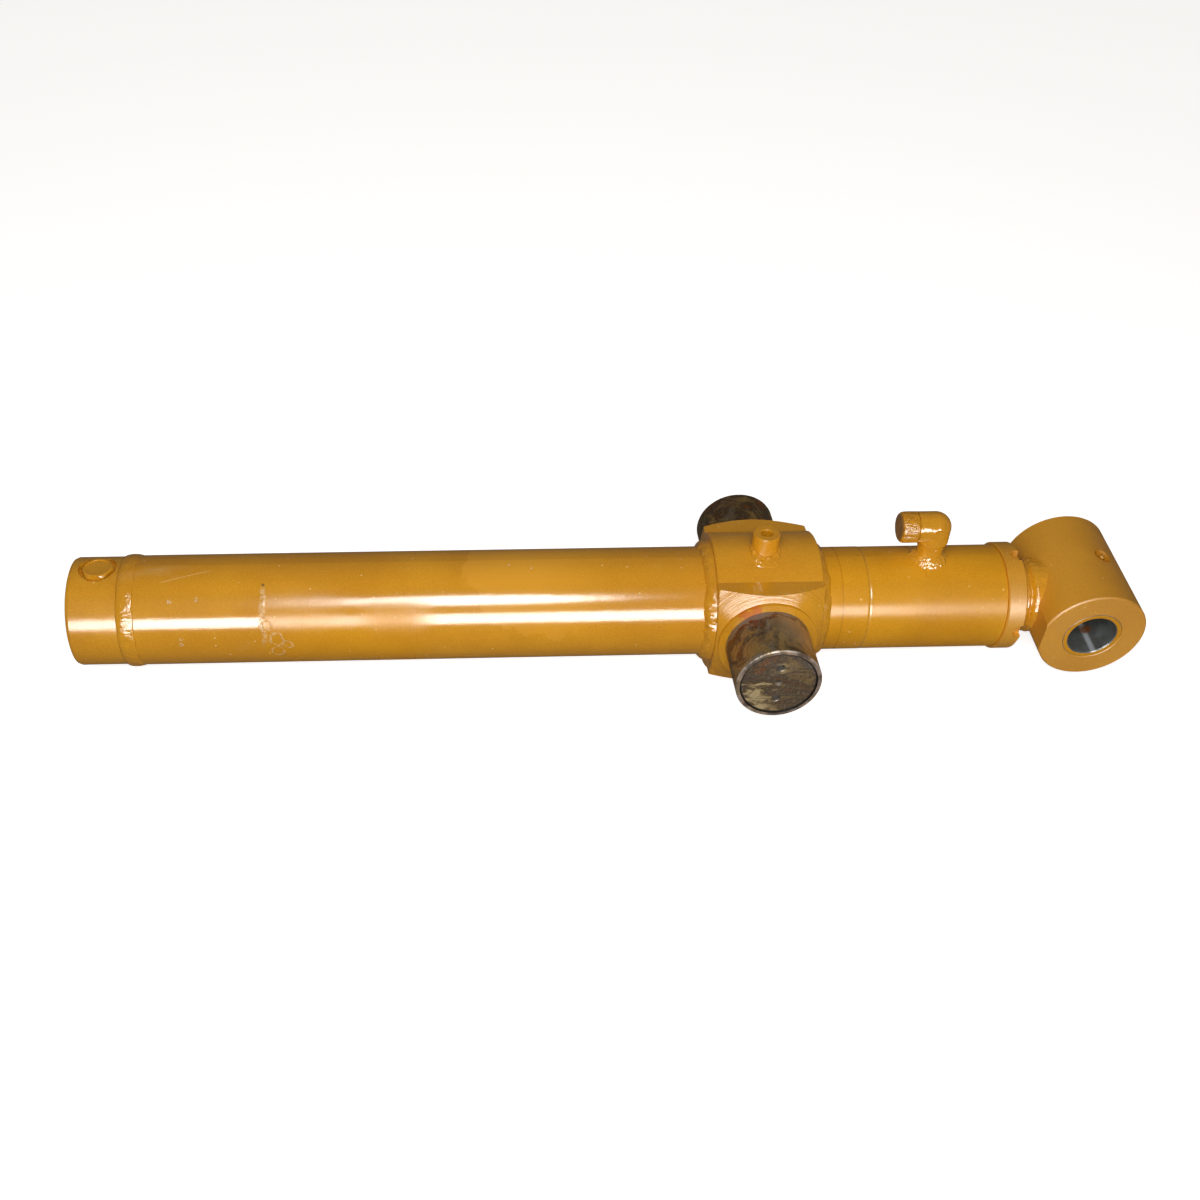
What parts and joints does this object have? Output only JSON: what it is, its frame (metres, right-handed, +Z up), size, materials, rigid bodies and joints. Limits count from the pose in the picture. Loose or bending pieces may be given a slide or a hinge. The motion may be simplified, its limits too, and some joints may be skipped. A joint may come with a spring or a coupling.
{
  "type": "hydraulic cylinder",
  "caption": "Welded double-acting hydraulic cylinder with a bare-steel trunnion mount on the barrel and a bushed cross-tube eye on the rod.",
  "frame": {"origin": "where the trunnion axis crosses the cylinder axis", "axes": "+X along the cylinder axis to the rod end, +Y along the trunnion axis, +Z up, on the side of the ports and the clamp boss"},
  "size_m": [1.2913, 0.316, 0.2091],
  "materials": {
    "paint_yellow": "gloss enamel over machined steel",
    "weld_paint": "gloss enamel over weld beads",
    "pin_steel": "ground and hardened, brown oil and heat stains",
    "bush_steel": "bored and honed",
    "rod_chrome": "polished hard chrome",
    "machined_steel": "turned",
    "wear_ring": "filled nylon",
    "seal_rubber": "moulded",
    "seal_urethane": "moulded polyurethane",
    "cap_plastic": "soft cap, painted over and wrinkled"
  },
  "bodies": {
    "barrel": {"barrel_tube": "paint_yellow", "base_cap": "paint_yellow", "base_port_plug": "paint_yellow", "base_weld": "weld_paint", "buffer_seal": "seal_urethane", "clamp_boss": "paint_yellow", "clamp_boss_weld": "weld_paint", "elbow_cap": "cap_plastic", "elbow_weld": "weld_paint", "gland": "paint_yellow", "gland_backup_ring": "wear_ring", "gland_o_ring": "seal_rubber", "plug_o_ring": "seal_rubber", "port_elbow": "paint_yellow", "rod_seal": "seal_urethane", "rod_wear_ring_inner": "wear_ring", "rod_wear_ring_outer": "wear_ring", "trunnion_body": "paint_yellow", "trunnion_sleeve_left": "pin_steel", "trunnion_sleeve_right": "pin_steel", "trunnion_weld_front": "weld_paint", "trunnion_weld_rear": "weld_paint", "wiper": "seal_urethane"},
    "piston_rings": {"piston_wear_ring_rear": "wear_ring", "piston_wear_ring_front": "wear_ring", "piston_seal": "wear_ring", "piston_seal_expander": "seal_rubber"},
    "rod": {"rod": "rod_chrome", "piston": "machined_steel", "piston_o_ring": "seal_rubber", "piston_nut": "machined_steel", "rod_eye": "paint_yellow", "rod_eye_weld": "weld_paint", "eye_bushing": "bush_steel", "grease_fitting": "paint_yellow", "grease_fitting_ball": "machined_steel"}
  },
  "joints": [
    {"name": "rod_slide", "type": "slide", "parent": "barrel", "child": "piston_rings", "axis": [1, 0, 0], "range_m": [0, 0.8382]},
    {"name": "rod_turn", "type": "hinge", "parent": "piston_rings", "child": "rod", "pos_m": [0, 0, 0], "axis": [1, 0, 0], "continuous": true}
  ]
}
